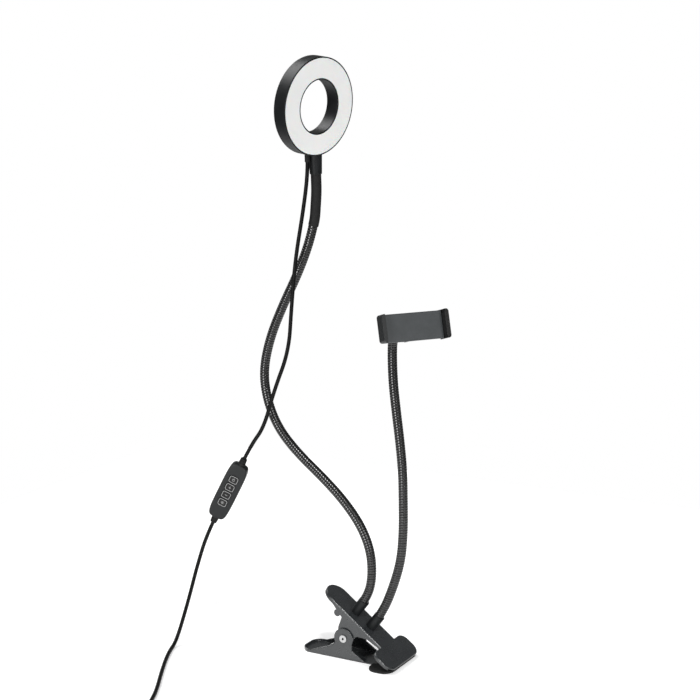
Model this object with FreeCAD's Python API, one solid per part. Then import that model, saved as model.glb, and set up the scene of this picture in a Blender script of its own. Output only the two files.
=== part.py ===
import FreeCAD, Part
import math
import os

# Ring light and phone holder on one spring clamp, all lengths in millimetres.
# Row frame: Z up from the floor, X from the clamp handles to its jaws, Y across it,
# X = 0 at the clamp pivot.

# ---------------------------------------------------------------- dimensions
# clamp
PIVOT_Z = 19.5
LEG_TILT = 36.5            # slope of the upper leg, handle end high
LEG_Z = 45.4               # top of the upper leg above the pivot
LEG_HALF = 13.0            # half width of the handle
HANDLE_BACK = 15.3         # centre of the rounded handle end behind the pivot
SHEET = 1.0
RIM = 3.0                  # depth of the turned-down rim
JAW_HALF = 29.0
JAW_START = 47.0
JAW_END = 70.3
JAW_REAR_R = 8.0
JAW_TIP_R = 9.0
FLANGE = 1.2
EAR_R = 9.5
LOWER_BACK = -45.0
LOWER_JAW = 33.0
LOWER_END = 53.5
LOWER_HALF = 14.6
SLEEVE_TOP = 2.0
SLEEVE_EDGE = 1.0
RIVET_R = 2.4
RIVET_BORE = 1.1
RIVET_HEAD = 3.5
SPRING_WIRE = 1.8
SPRING_R = 5.2
SPRING_TURNS = 5.25
SPRING_GAP = 0.25
SPRING_ARM_R = 0.85

# sockets that hold the two arms
SOCKET_R = 4.95
SOCKET_LEN = 15.0
SOCKET_FLOOR = 3.0
STEM_R = 3.0
STEM_HOLE_R = 3.05
SOCKET_NUT_R = 5.8
SOCKET_LEAD_OUT = 20.5     # the hose runs straight out of its socket to here
LIGHT_AT = 6.5
PHONE_AT = 26.0

# wound steel goosenecks
HOSE_R = 4.3
HOSE_BORE = 2.6
HOSE_FIT = 0.05
SLEEVE_R = 4.65

# ring lamp
RING_R = 42.8
HOLE_R = 23.3
RING_DEPTH = 14.0
RING_WALL = 1.15
RING_ROUND = 2.2
REAR_WALL = 1.6
LAMP_BOARD = (-1.0, 0.6)    # back and front face of the lamp board
CHIP_TOP = 1.4
RING_AT = (-31.2, -10.4, 498.1)
RING_TURN = -13.6
RING_NOD = 6.1
RING_ROLL = 9.0
COLLAR_TOP_R = 6.0
COLLAR_END_R = 5.4
COLLAR_LEN = 17.8
GROMMET_X = -1.3
GROMMET_Y = -8.6
GROMMET_R = 2.45
GROMMET_NECK = 1.85
POST_AT = 33.0             # board posts and screws, from the lamp axis
POST_R = 2.2
DIFFUSER = 1.8
LED_ROWS = (29.6, 36.4)
LED_COUNT = 28
LED_SIZE = 2.6

# phone holder
HOLDER_AT = (72.9, -24.0, 315.2)
HOLDER_TURN = 54.5
HOLDER_LEAN = -16.0
TRAY_HALF = 28.6
TRAY_H = 24.2
TRAY_T = 3.0
JAW_DEPTH = 7.0
JAW_BACK = 7.5
JAW_T = 3.2
JAW_LIP = 0.6
JAW_CORNER = 2.4
JAW_GAP = 0.4              # between the tray and the sliding jaw
COVER_BACK = 8.0
BALL_AT = 13.5
BALL_PLAY = 0.15
HOSE_IN_STUD = 21.0
FERRULE_R = 5.5
BALL_R = 5.6
BOSS_R = 8.6
NUT_R = 11.6
NUT_GROOVES = 18
GUIDE_Y = 4.75
GUIDE_Z = 7.4
GUIDE_R = 0.8
NUT_GROOVE_R = 0.9
JAW_SPRING_R = 1.2
SPRING_PITCH = 1.0

# lead
LEAD_R = 1.75
CTRL_AT = (-118.0, -19.5, 144.3)
CTRL_UP = (0.457, 0.050, 0.888)
CTRL_FACE = (0.327, -0.938, -0.115)
CTRL_L = 58.0
CTRL_W = 18.5
CTRL_T = 9.0
CTRL_ROUND = 1.0
CTRL_SQUARE = 5.0          # how square the outline is: 2 is an ellipse
BUTTON_W = 8.4
BUTTON_L = 7.0
BUTTON_PITCH = 8.5
BUTTON_FIRST = 13.8
CTRL_WALL = 1.3
RELIEF_LEN = 6.5
RELIEF_R = 3.6
RELIEF_TIP_R = 3.0
RELIEF_HOLE = 2.0
RELIEF_GAP = 0.08
LEAD_Z = 1.9               # height of the lead where it lies on the floor
COIL_AT = (-64.0, -240.0)
COIL_R = 20.5
COIL_TURNS = 4
COIL_STEP = 3.8
COIL_POINTS = 14
PLUG_Z = 4.0

# points of each run: the corners are rounded by arcs that touch both runs
ARC_SHARE = 0.45           # how far an arc reaches along the shorter run
LIGHT_ROUTE = [
    (22.0, 0.0, 77.0), (20.5, 0.0, 101.0), (10.0, 0.0, 124.5), (-9.0, 0.0, 146.5),
    (-31.0, 0.0, 165.0), (-55.0, 0.0, 183.0), (-76.0, 0.0, 204.5), (-87.5, 0.0, 230.0),
    (-91.0, 0.0, 257.0), (-83.5, 0.0, 288.0), (-70.0, 0.0, 318.0), (-55.0, 1.5, 348.0),
    (-45.0, 3.5, 374.0), (-39.0, 5.0, 398.0),
]
PHONE_ROUTE = [
    (43.5, 0.0, 72.0), (51.0, 0.0, 98.0), (53.0, 0.0, 125.0), (52.7, 0.0, 152.0),
    (52.0, 0.0, 179.0), (49.0, 0.0, 207.0), (45.0, 0.0, 235.0), (41.8, 0.0, 261.0),
]
PHONE_ELBOW = [(40.8, 0.0, 290.5), (43.9, -2.7, 300.7), (49.7, -7.5, 307.0)]
UPPER_LEAD = [
    (-41.5, -10.5, 409.0), (-49.5, -12.0, 363.0), (-53.5, -12.5, 319.0), (-56.5, -12.5, 280.0),
    (-72.0, -13.0, 242.0), (-82.5, -14.0, 207.0),
]
LOWER_LEAD = [
    (-149.0, -27.5, 69.0), (-153.0, -37.5, 37.0), (-155.5, -55.0, LEAD_Z), (-146.0, -82.0, LEAD_Z),
    (-125.5, -122.0, LEAD_Z), (-101.0, -166.0, LEAD_Z), (-86.5, -205.0, LEAD_Z),
]

os.makedirs("parts", exist_ok=True)
V = FreeCAD.Vector


# ---------------------------------------------------------------- helpers
def save(name, solids):
    """Write one node: one solid, or several alike as a compound."""
    shape = solids[0] if len(solids) == 1 else Part.makeCompound(solids)
    shape.exportStep("parts/%s.step" % name)
    print(name, len(shape.Solids), "solid(s)", round(shape.Volume, 1), "mm3", shape.isValid())


def box(x0, x1, y0, y1, z0, z1):
    return Part.makeBox(x1 - x0, y1 - y0, z1 - z0, V(x0, y0, z0))


def rod(start, end, radius):
    start = V(start)
    end = V(end)
    return Part.makeCylinder(radius, (end - start).Length, start, end - start)


def unit(vector):
    vector = V(vector)
    return vector.normalize()


def plate(outline, bottom, top):
    """A flat plate from an XY outline wire."""
    face = Part.Face(outline)
    face.translate(V(0, 0, bottom))
    return face.extrude(V(0, 0, top - bottom))


def side_plate(points, y0, y1):
    """A flat plate standing in the XZ plane."""
    corners = [V(x, y0, z) for x, z in points]
    wire = Part.makePolygon(corners + [corners[0]])
    return Part.Face(wire).extrude(V(0, y1 - y0, 0))


def corner_arc(before, corner, after):
    """Arc tangent to both runs at a corner; returns its first, middle and last point."""
    run_in = corner - before
    run_out = after - corner
    into = unit(run_in)
    out = unit(run_out)
    turn = into.getAngle(out)
    reach = ARC_SHARE * min(run_in.Length, run_out.Length)
    radius = reach / math.tan(turn / 2)
    first = corner - into * reach
    last = corner + out * reach
    inward = unit(out - into)
    centre = corner + inward * (radius / math.cos(turn / 2))
    middle = centre - inward * radius
    return first, middle, last, radius


def path(points, first=None, last=None):
    """Straight runs and tangent arcs; may start and end at the middle of a run."""
    points = [V(p) for p in points]
    begin = 0 if first is None else first
    end = len(points) - 1 if last is None else last + 1
    here = points[0] if first is None else (points[first] + points[first + 1]) * 0.5
    finish = points[-1] if last is None else (points[last] + points[last + 1]) * 0.5
    edges = []
    radii = []
    for i in range(begin + 1, end):
        a, m, b, radius = corner_arc(points[i - 1], points[i], points[i + 1])
        edges.append(Part.LineSegment(here, a).toShape())
        edges.append(Part.Arc(a, m, b).toShape())
        radii.append(round(radius, 1))
        here = b
    edges.append(Part.LineSegment(here, finish).toShape())
    return Part.Wire(edges), radii


def sweep(wire, radius):
    start = wire.Edges[0].valueAt(wire.Edges[0].FirstParameter)
    along = wire.Edges[0].tangentAt(wire.Edges[0].FirstParameter)
    ring = Part.Wire(Part.makeCircle(radius, start, along))
    return Part.Solid(wire.makePipeShell([ring], True, True))


def tube(name, points, radius, first=None, last=None, bore=0.0):
    """Sweep a round section along a run and print how true the sweep is."""
    wire, radii = path(points, first, last)
    solid = sweep(wire, radius)
    if solid.Volume < 0:
        solid.reverse()
    ratio = solid.Volume / (math.pi * radius ** 2 * wire.Length)
    print(name, "length", round(wire.Length, 1), "radii", radii, "volume ratio", round(ratio, 4))
    if bore:
        inner = sweep(wire, bore)
        if inner.Volume < 0:
            inner.reverse()
        solid = solid.cut(inner)
    return solid


def rounded_box(width, depth, height, radius):
    """A box centred on the origin with its four upright corners rounded."""
    solid = box(-width / 2, width / 2, -depth / 2, depth / 2, -height / 2, height / 2)
    upright = [e for e in solid.Edges if abs(e.tangentAt(e.FirstParameter).z) > 0.99]
    return solid.makeFillet(radius, upright)


def pad_outline(start, end, half, rear_r, tip_r):
    """Jaw outline: straight tip, round corners."""
    rear = [(start, -half + rear_r), (start + rear_r, -half)]
    tip = [(end - tip_r, -half), (end, -half + tip_r)]
    low = [V(x, y, 0) for x, y in rear + tip]
    high = [V(p.x, -p.y, 0) for p in reversed(low)]
    d = math.sqrt(0.5)
    rear_mid = V(start + rear_r - rear_r * d, -half + rear_r - rear_r * d, 0)
    tip_mid = V(end - tip_r + tip_r * d, -half + tip_r - tip_r * d, 0)
    edges = [
        Part.Arc(low[0], rear_mid, low[1]).toShape(),
        Part.LineSegment(low[1], low[2]).toShape(),
        Part.Arc(low[2], tip_mid, low[3]).toShape(),
        Part.LineSegment(low[3], high[0]).toShape(),
        Part.Arc(high[0], V(tip_mid.x, -tip_mid.y, 0), high[1]).toShape(),
        Part.LineSegment(high[1], high[2]).toShape(),
        Part.Arc(high[2], V(rear_mid.x, -rear_mid.y, 0), high[3]).toShape(),
        Part.LineSegment(high[3], low[0]).toShape(),
    ]
    return Part.Wire(edges)


def leg_blank(back, half, end_r, jaw_start, jaw_end, jaw_half, bottom, top, rear_r, tip_r):
    """Handle with a round end, widening into the jaw."""
    centre = back + end_r
    handle = Part.makeCylinder(end_r, top - bottom, V(centre, 0, bottom))
    if half > end_r:
        for side in (-1, 1):
            y = side * (half - end_r)
            handle = handle.fuse(Part.makeCylinder(end_r, top - bottom, V(centre, y, bottom)))
        handle = handle.fuse(box(back, centre, end_r - half, half - end_r, bottom, top))
    handle = handle.fuse(box(centre, jaw_start + rear_r, -half, half, bottom, top))
    outline = pad_outline(jaw_start, jaw_end, jaw_half, rear_r, tip_r)
    return handle.fuse(plate(outline, bottom, top)).removeSplitter()


# ---------------------------------------------------------------- clamp
leg_frame = FreeCAD.Placement(V(0, 0, LEG_Z), FreeCAD.Rotation(V(0, 1, 0), LEG_TILT))
leg_up = leg_frame.Rotation.multVec(V(0, 0, 1))


def on_leg(along):
    return leg_frame.multVec(V(along, 0, 0))


# upper leg: dished plate, then two flanges with pivot ears and a stop lobe
dish = leg_blank(-HANDLE_BACK - LEG_HALF, LEG_HALF, LEG_HALF, JAW_START, JAW_END, JAW_HALF,
                 -RIM, 0, JAW_REAR_R, JAW_TIP_R)
hollow = leg_blank(-HANDLE_BACK - LEG_HALF + SHEET, LEG_HALF - SHEET, LEG_HALF - SHEET,
                   JAW_START + SHEET, JAW_END + SHEET, JAW_HALF - SHEET,
                   -RIM - 1, -SHEET, JAW_REAR_R - SHEET, JAW_TIP_R - SHEET)
dish = dish.cut(hollow)
top_edges = [e for e in dish.Edges if e.BoundBox.ZMin > -0.01]
dish = dish.makeFillet(0.6, top_edges)
dish.Placement = leg_frame
upper_leg = dish
slope = math.tan(math.radians(LEG_TILT))
flange_top = [(x, LEG_Z - slope * x - 1.3) for x in (38.0, -12.0)]
flange_low = [(-12.0, flange_top[1][1] - 2.4), (-6.0, PIVOT_Z + 23.5), (-2.6, PIVOT_Z + 19.5),
              (-6.0, PIVOT_Z + 10.0), (-7.0, PIVOT_Z), (7.0, PIVOT_Z), (13.0, PIVOT_Z + 3.6),
              (23.0, PIVOT_Z + 3.0), (38.0, flange_top[0][1] - 1.5)]
inside = LEG_HALF - FLANGE
for side in (-1, 1):
    y0 = inside if side > 0 else -LEG_HALF
    y1 = y0 + FLANGE
    flange = side_plate(flange_top + flange_low, y0, y1)
    ear = Part.makeCylinder(7.6, FLANGE, V(0, y0, PIVOT_Z), V(0, 1, 0))
    lobe = Part.makeCylinder(3.3, FLANGE, V(-7.2, y0, PIVOT_Z + 23.0), V(0, 1, 0))
    upper_leg = upper_leg.fuse([flange, ear, lobe])
upper_leg = upper_leg.cut(rod((0, -20, PIVOT_Z), (0, 20, PIVOT_Z), RIVET_R + 0.1))
upper_leg = upper_leg.cut(box(40, 80, -40, 40, -10, SLEEVE_TOP + 0.3))
above = Part.makeBox(200, 100, 60, V(-80, -50, -0.001))
above.Placement = leg_frame.multiply(above.Placement)
upper_leg = upper_leg.cut(above)
for along in (LIGHT_AT, PHONE_AT):
    hole = rod(on_leg(along) - leg_up * 4, on_leg(along) + leg_up * 4, STEM_HOLE_R)
    upper_leg = upper_leg.cut(hole)
upper_leg = upper_leg.removeSplitter()
save("clamp_upper_leg", [upper_leg])

# rubber lining under the upper jaw
lining = plate(pad_outline(JAW_START + 2, JAW_END - 4.5, JAW_HALF - 2, 7.0, 7.0), -2.4, -SHEET)
lining.Placement = leg_frame
save("upper_jaw_pad", [lining])

# lower leg: same dished handle, ears outside the upper flanges
lower_leg = leg_blank(LOWER_BACK, LOWER_HALF, 10.0, LOWER_JAW, LOWER_END, JAW_HALF,
                      0, SHEET, JAW_REAR_R, JAW_TIP_R)
wall_low = [(-38.0, 0.2), (22.0, 0.2)]
wall_high = [(21.0, 1.2), (8.6, PIVOT_Z - 10.3), (8.2, PIVOT_Z - 4.8), (0.0, PIVOT_Z),
             (-8.4, PIVOT_Z - 4.4), (-12.0, 11.2), (-34.0, 2.9), (-38.0, 2.4)]
for side in (-1, 1):
    y0 = LOWER_HALF - FLANGE if side > 0 else -LOWER_HALF
    wall = side_plate(wall_low + wall_high, y0, y0 + FLANGE)
    ear = Part.makeCylinder(EAR_R, FLANGE, V(0, y0, PIVOT_Z), V(0, 1, 0))
    lower_leg = lower_leg.fuse([wall, ear])
end_rim = leg_blank(LOWER_BACK, LOWER_HALF, 10.0, LOWER_JAW, LOWER_END, JAW_HALF,
                    0, 3.0, JAW_REAR_R, JAW_TIP_R)
end_hollow = leg_blank(LOWER_BACK + SHEET, LOWER_HALF - SHEET, 9.0, LOWER_JAW, LOWER_END,
                       JAW_HALF, SHEET, 5.0, JAW_REAR_R, JAW_TIP_R)
end_rim = end_rim.cut(end_hollow).common(box(-60, -30, -30, 30, -1, 6))
lower_leg = lower_leg.fuse(end_rim)
lower_leg = lower_leg.cut(rod((0, -20, PIVOT_Z), (0, 20, PIVOT_Z), RIVET_R + 0.1))
lower_leg = lower_leg.removeSplitter()
save("clamp_lower_leg", [lower_leg])

jaw_sleeve = plate(pad_outline(LOWER_JAW - 2.0, LOWER_END + SLEEVE_EDGE, JAW_HALF + SLEEVE_EDGE,
                               JAW_REAR_R + 1, JAW_TIP_R + 1), 0, SLEEVE_TOP)
jaw_sleeve = jaw_sleeve.cut(lower_leg)
jaw_sleeve = jaw_sleeve.cut(box(-10, LOWER_JAW + 1.0, -LOWER_HALF - 0.2, LOWER_HALF + 0.2, -1, 8))
save("lower_jaw_sleeve", [max(jaw_sleeve.Solids, key=lambda s: s.Volume)])

# hollow rivet with a flat head outside each ear
rivet = rod((0, -LOWER_HALF - 1, PIVOT_Z), (0, LOWER_HALF + 1, PIVOT_Z), RIVET_R)
for side in (-1, 1):
    foot = V(0, side * LOWER_HALF, PIVOT_Z)
    head = rod(foot, foot + V(0, side * 1.0, 0), RIVET_HEAD)
    rivet = rivet.fuse(head)
rivet = rivet.cut(rod((0, -20, PIVOT_Z), (0, 20, PIVOT_Z), RIVET_BORE)).removeSplitter()
save("pivot_rivet", [rivet])

# torsion spring: a coil round the rivet and two arms that push the handles apart
spring_step = SPRING_WIRE + SPRING_GAP
coil_len = SPRING_TURNS * spring_step
helix = Part.makeHelix(spring_step, coil_len, SPRING_R)
wire_end = Part.Wire(Part.makeCircle(SPRING_WIRE / 2, V(SPRING_R, 0, 0), V(0, 1, 0)))
spring = Part.Solid(Part.Wire(helix.Edges).makePipeShell([wire_end], True, True))
spring.rotate(V(0, 0, 0), V(1, 0, 0), -90)
spring.translate(V(0, -coil_len / 2, PIVOT_Z))
arm_y = coil_len / 2
low_arm = rod((0.6, arm_y, PIVOT_Z - SPRING_R), (-24.0, arm_y, 2.2), SPRING_ARM_R)
high_arm = rod((SPRING_R, -arm_y, PIVOT_Z - 0.6), (-9.0, -arm_y, LEG_Z + 3.6), SPRING_ARM_R)
spring = spring.fuse(low_arm).fuse(high_arm)
save("torsion_spring", [spring.removeSplitter()])

# arm sockets: a threaded foot through the plate, a cup above it, a nut below
for name, along in (("light_arm_socket", LIGHT_AT), ("phone_arm_socket", PHONE_AT)):
    foot = on_leg(along)
    cup = rod(foot, foot + leg_up * SOCKET_LEN, SOCKET_R)
    rim_edges = [e for e in cup.Edges if e.Length > 20]
    cup = cup.makeFillet(0.4, rim_edges[:1])
    stem = rod(foot - leg_up * 6.0, foot, STEM_R)
    bore = rod(foot + leg_up * SOCKET_FLOOR, foot + leg_up * 30, HOSE_R + HOSE_FIT)
    save(name, [cup.fuse(stem).cut(bore).removeSplitter()])
nuts = []
for along in (LIGHT_AT, PHONE_AT):
    angles = [math.radians(60 * k) for k in range(6)]
    corners = [V(SOCKET_NUT_R * math.cos(a), SOCKET_NUT_R * math.sin(a), -4.0) for a in angles]
    nut = Part.Face(Part.makePolygon(corners + [corners[0]])).extrude(V(0, 0, 2.95))
    nut = nut.cut(Part.makeCylinder(STEM_HOLE_R, 10, V(0, 0, -8)))
    nut.Placement = FreeCAD.Placement(on_leg(along), leg_frame.Rotation)
    nuts.append(nut)
save("socket_nuts", nuts)

# ---------------------------------------------------------------- ring lamp
ring_turn = FreeCAD.Rotation(V(0, 0, 1), RING_TURN)
ring_nod = FreeCAD.Rotation(V(0, 1, 0), RING_NOD)
ring_roll = FreeCAD.Rotation(V(1, 0, 0), RING_ROLL)
ring_frame = FreeCAD.Placement(V(RING_AT), ring_turn.multiply(ring_nod).multiply(ring_roll))
ring_down = ring_frame.Rotation.multVec(V(0, 0, -1))
front = RING_DEPTH / 2


def disc(x0, x1, outer, inner):
    """A flat ring about the lamp axis, from x0 to x1."""
    body = Part.makeCylinder(outer, x1 - x0, V(x0, 0, 0), V(1, 0, 0))
    return body.cut(Part.makeCylinder(inner, x1 - x0, V(x0, 0, 0), V(1, 0, 0)))


housing = disc(-front, front, RING_R, HOLE_R)
rear_edges = [e for e in housing.Edges if e.BoundBox.XMax < -front + 0.01]
housing = housing.makeFillet(RING_ROUND, rear_edges)
housing = housing.cut(disc(-front + REAR_WALL, front + 1, RING_R - RING_WALL, HOLE_R + RING_WALL))
housing = housing.cut(rod((0, 0, -RING_R + 8), (0, 0, -RING_R - 2), 3.0))
grommet_z = -math.sqrt(RING_R ** 2 - GROMMET_Y ** 2)
housing = housing.cut(rod((GROMMET_X, GROMMET_Y, -RING_R + 6), (GROMMET_X, GROMMET_Y, -RING_R - 2),
                          1.9))
board_back, board_front = LAMP_BOARD
board = disc(board_back, board_front, RING_R - RING_WALL - 0.4, HOLE_R + RING_WALL + 0.4)
post_places = []
for k in range(4):
    a = math.radians(45 + 90 * k)
    post_places.append((POST_AT * math.cos(a), POST_AT * math.sin(a)))
screws = []
for y, z in post_places:
    board = board.cut(rod((-2, y, z), (2, y, z), 1.1))
    housing = housing.fuse(rod((-front + REAR_WALL, y, z), (board_back, y, z), POST_R))
    housing = housing.cut(rod((-4.5, y, z), (0, y, z), 1.0))
    head = rod((board_front, y, z), (1.9, y, z), 1.9)
    screws.append(head.fuse(rod((-4.0, y, z), (board_front, y, z), 0.95)).removeSplitter())
housing = housing.removeSplitter()
diffuser = disc(front - DIFFUSER, front, RING_R - RING_WALL, HOLE_R + RING_WALL)
leds = []
for row, radius in enumerate(LED_ROWS):
    chips = []
    for k in range(LED_COUNT):
        chip = box(board_front, CHIP_TOP, -LED_SIZE / 2, LED_SIZE / 2, radius - LED_SIZE / 2,
                   radius + LED_SIZE / 2)
        chip.rotate(V(0, 0, 0), V(1, 0, 0), 360.0 / LED_COUNT * (k + 0.5 * row))
        chips.append(chip)
    leds.append(chips)
for row in range(2):
    leds[row] = [chip for chip in leds[row]
                 if min(chip.distToShape(screw)[0] for screw in screws) > 0.2]
collar = Part.makeCone(COLLAR_TOP_R, COLLAR_END_R, COLLAR_LEN + 1.5, V(0, 0, -RING_R + 1.5),
                       V(0, 0, -1))
collar = collar.cut(Part.makeCylinder(RING_R, 40, V(-20, 0, 0), V(1, 0, 0)))
stem_top = -RING_R - COLLAR_LEN
collar = collar.cut(rod((0, 0, stem_top + 12), (0, 0, stem_top - 1), HOSE_R + HOSE_FIT))
collar = collar.fuse(rod((0, 0, -RING_R - 1.5), (0, 0, -RING_R + RING_WALL), 2.9))
collar = collar.cut(rod((0, 0, -RING_R - 10), (0, 0, -RING_R + 4), 1.6)).removeSplitter()


def grommet_rod(above, below, radius):
    """A piece of the grommet, from above to below the rim of the lamp."""
    return rod((GROMMET_X, GROMMET_Y, grommet_z + above),
               (GROMMET_X, GROMMET_Y, grommet_z - below), radius)


grommet = grommet_rod(1.0, 6.5, GROMMET_R)
grommet = grommet.cut(Part.makeCylinder(RING_R, 40, V(-20, 0, 0), V(1, 0, 0)))
grommet = grommet.fuse(grommet_rod(RING_WALL, 3.0, GROMMET_NECK))
grommet = grommet.cut(grommet_rod(4.0, 8.0, LEAD_R)).removeSplitter()
lamp_nodes = [
    ("ring_housing", [housing]), ("ring_diffuser", [diffuser]), ("led_board", [board]),
    ("leds_warm", leds[0]), ("leds_cool", leds[1]), ("board_screws", screws),
    ("neck_collar", [collar]), ("lead_grommet", [grommet]),
]
for name, solids in lamp_nodes:
    for solid in solids:
        solid.Placement = ring_frame.multiply(solid.Placement)
    save(name, solids)

# ---------------------------------------------------------------- goosenecks
socket_light = on_leg(LIGHT_AT)
collar_end = ring_frame.multVec(V(0, 0, stem_top))
light_points = [socket_light + leg_up * (SOCKET_FLOOR + 0.4), socket_light + leg_up * SOCKET_LEAD_OUT]
light_points += [V(p) for p in LIGHT_ROUTE]
light_points += [collar_end + ring_down * 16.0, collar_end - ring_down * 11.0]
light_cuts = [
    ("light_hose_base", None, 1), ("light_flex_1", 1, 2), ("light_hose_1", 2, 5),
    ("light_flex_2", 5, 6), ("light_hose_2", 6, 8), ("light_flex_3", 8, 9),
    ("light_hose_3", 9, 12), ("light_flex_4", 12, 13), ("light_hose_4", 13, None),
]
for name, first, last in light_cuts:
    save(name, [tube(name, light_points, HOSE_R, first, last, HOSE_BORE)])
sleeve_points = [(light_points[-4] + light_points[-3]) * 0.5, light_points[-3], light_points[-2],
                 collar_end + ring_down * 0.2]
sleeve = tube("light_sleeve", sleeve_points, SLEEVE_R, 0, None, 0.0)
sleeve = sleeve.cut(sweep(path(light_points, 13)[0], HOSE_R))
save("light_sleeve", [max(sleeve.Solids, key=lambda s: s.Volume)])

holder_spin = FreeCAD.Rotation(V(0, 0, 1), HOLDER_TURN)
holder_tip = FreeCAD.Rotation(V(1, 0, 0), HOLDER_LEAN)
holder_frame = FreeCAD.Placement(V(HOLDER_AT), holder_spin.multiply(holder_tip))
back = holder_frame.Rotation.multVec(V(0, 1, 0))
socket_phone = on_leg(PHONE_AT)
phone_end = V(HOLDER_AT) + back * HOSE_IN_STUD
phone_points = [socket_phone + leg_up * (SOCKET_FLOOR + 0.4), socket_phone + leg_up * SOCKET_LEAD_OUT]
phone_points += [V(p) for p in PHONE_ROUTE]
phone_points += [V(p) for p in PHONE_ELBOW] + [phone_end]
phone_cuts = [
    ("phone_hose_base", None, 2), ("phone_flex_1", 2, 3), ("phone_hose_1", 3, 5),
    ("phone_flex_2", 5, 6), ("phone_hose_2", 6, 8), ("phone_flex_3", 8, 9),
    ("phone_hose_3", 9, None),
]
for name, first, last in phone_cuts:
    save(name, [tube(name, phone_points, HOSE_R, first, last, HOSE_BORE)])

# ---------------------------------------------------------------- phone holder
# local axes: X to the sliding jaw, Y backwards, Z up; Y = 0 is the face the phone rests on
half_h = TRAY_H / 2
tray = box(-TRAY_HALF, TRAY_HALF, 0, TRAY_T, -half_h, half_h)
long_edges = [e for e in tray.Edges if e.Length > 50 and e.BoundBox.YMax < 0.01]
tray = tray.makeFillet(1.0, long_edges)


def jaw_plate(inner, outer, lip_at, back_y, half):
    """A jaw with a small lip, its outer upright edges and all four corners rounded."""
    low = min(inner, outer)
    high = max(inner, outer)
    jaw = box(low, high, -JAW_DEPTH, back_y, -half, half)
    corners = [e for e in jaw.Edges if abs(e.tangentAt(e.FirstParameter).y) > 0.9
               and abs(e.BoundBox.XMin - outer) < 0.01]
    jaw = jaw.makeFillet(JAW_CORNER, corners)
    lip = box(min(lip_at, outer), max(lip_at, outer), -JAW_DEPTH, -JAW_DEPTH + 1.8,
              -half + JAW_CORNER, half - JAW_CORNER)
    return jaw.fuse(lip).removeSplitter()


fixed = jaw_plate(-TRAY_HALF, -TRAY_HALF - JAW_T, -TRAY_HALF + JAW_LIP, TRAY_T, half_h)
tray = tray.fuse(fixed).removeSplitter()
save_later = [("holder_tray", [tray])]

# rear cover: a shallow box with a threaded boss, slotted for the slider
cover = box(-TRAY_HALF, TRAY_HALF - 1.0, TRAY_T, COVER_BACK, -half_h + 1.5, half_h - 1.5)
cover = cover.cut(box(-TRAY_HALF + 1.6, TRAY_HALF, TRAY_T, COVER_BACK - 1.5,
                      -half_h + 3.2, half_h - 3.2))
boss = rod((0, COVER_BACK - 0.5, 0), (0, BALL_AT + 1.5, 0), BOSS_R)
cover = cover.fuse(boss)
cover = cover.cut(Part.makeSphere(BALL_R + BALL_PLAY, V(0, BALL_AT, 0)))
cover = cover.cut(rod((0, BALL_AT, 0), (0, BALL_AT + 10, 0), BALL_R + BALL_PLAY))
cover = cover.removeSplitter()
save_later.append(("holder_rear_cover", [cover]))

# lock nut: knurled cap that closes over the ball
nut_back = BALL_AT + 4.4
knurled = rod((0, COVER_BACK + 0.4, 0), (0, nut_back, 0), NUT_R)
knurled = knurled.cut(rod((0, COVER_BACK, 0), (0, BALL_AT + 1.8, 0), BOSS_R + 0.25))
knurled = knurled.cut(Part.makeSphere(BALL_R + BALL_PLAY, V(0, BALL_AT, 0)))
knurled = knurled.cut(rod((0, BALL_AT, 0), (0, BALL_AT + 12, 0), 4.9))
for k in range(NUT_GROOVES):
    a = 2 * math.pi * k / NUT_GROOVES
    x = NUT_R * math.cos(a) * 1.03
    z = NUT_R * math.sin(a) * 1.03
    groove = rod((x, 0, z), (x, 40, z), NUT_GROOVE_R)
    knurled = knurled.cut(groove)
save_later.append(("lock_nut", [knurled.removeSplitter()]))

# ball stud: ball, neck and the ferrule the hose is pressed into
ball = Part.makeSphere(BALL_R, V(0, BALL_AT, 0))
ball = ball.fuse(rod((0, BALL_AT, 0), (0, 23.0, 0), 2.4))
ferrule = rod((0, HOSE_IN_STUD - 0.6, 0), (0, HOSE_IN_STUD + 7.0, 0), FERRULE_R)
ball = ball.fuse(ferrule)
mouth = rod((0, HOSE_IN_STUD - 0.05, 0), (0, HOSE_IN_STUD + 8.0, 0), HOSE_R + HOSE_FIT)
ball = ball.cut(mouth).removeSplitter()
save_later.append(("ball_stud", [ball]))

# sliding jaw with a tongue that runs in the rear cover
jaw_face = TRAY_HALF + JAW_GAP
slider = jaw_plate(jaw_face, jaw_face + JAW_T, jaw_face - JAW_LIP, JAW_BACK, half_h + 0.5)
tongue = box(-6.0, TRAY_HALF + 1.0, TRAY_T + 0.2, TRAY_T + 2.0, -5.0, 5.0)
bridge = box(TRAY_HALF - 0.8, TRAY_HALF + 1.0, TRAY_T + 0.2, COVER_BACK - 1.8, -9.0, 9.0)
slider = slider.fuse([tongue, bridge]).removeSplitter()
save_later.append(("sliding_jaw", [slider]))
guides = [rod((-20.0, GUIDE_Y, z), (TRAY_HALF - 0.8, GUIDE_Y, z), GUIDE_R)
          for z in (-GUIDE_Z, GUIDE_Z)]
save_later.append(("guide_rods", guides))
coil_wire = Part.makeHelix(SPRING_PITCH, TRAY_HALF - 9.0, JAW_SPRING_R)
spring_end = Part.Wire(Part.makeCircle(0.25, V(JAW_SPRING_R, 0, 0), V(0, 1, 0)))
jaw_spring = Part.Solid(Part.Wire(coil_wire.Edges).makePipeShell([spring_end], True, True))
jaw_spring.rotate(V(0, 0, 0), V(0, 1, 0), 90)
jaw_spring.translate(V(-TRAY_HALF + 2.3, GUIDE_Y, 0))
save_later.append(("jaw_spring", [jaw_spring]))
pads = []
for x in (-TRAY_HALF, jaw_face - 0.5):
    pads.append(box(x, x + 0.5, -JAW_DEPTH + 2.0, -0.8, -half_h + 3, half_h - 3))
save_later.append(("fixed_jaw_pad", [pads[0]]))
save_later.append(("sliding_jaw_pad", [pads[1]]))
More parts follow.
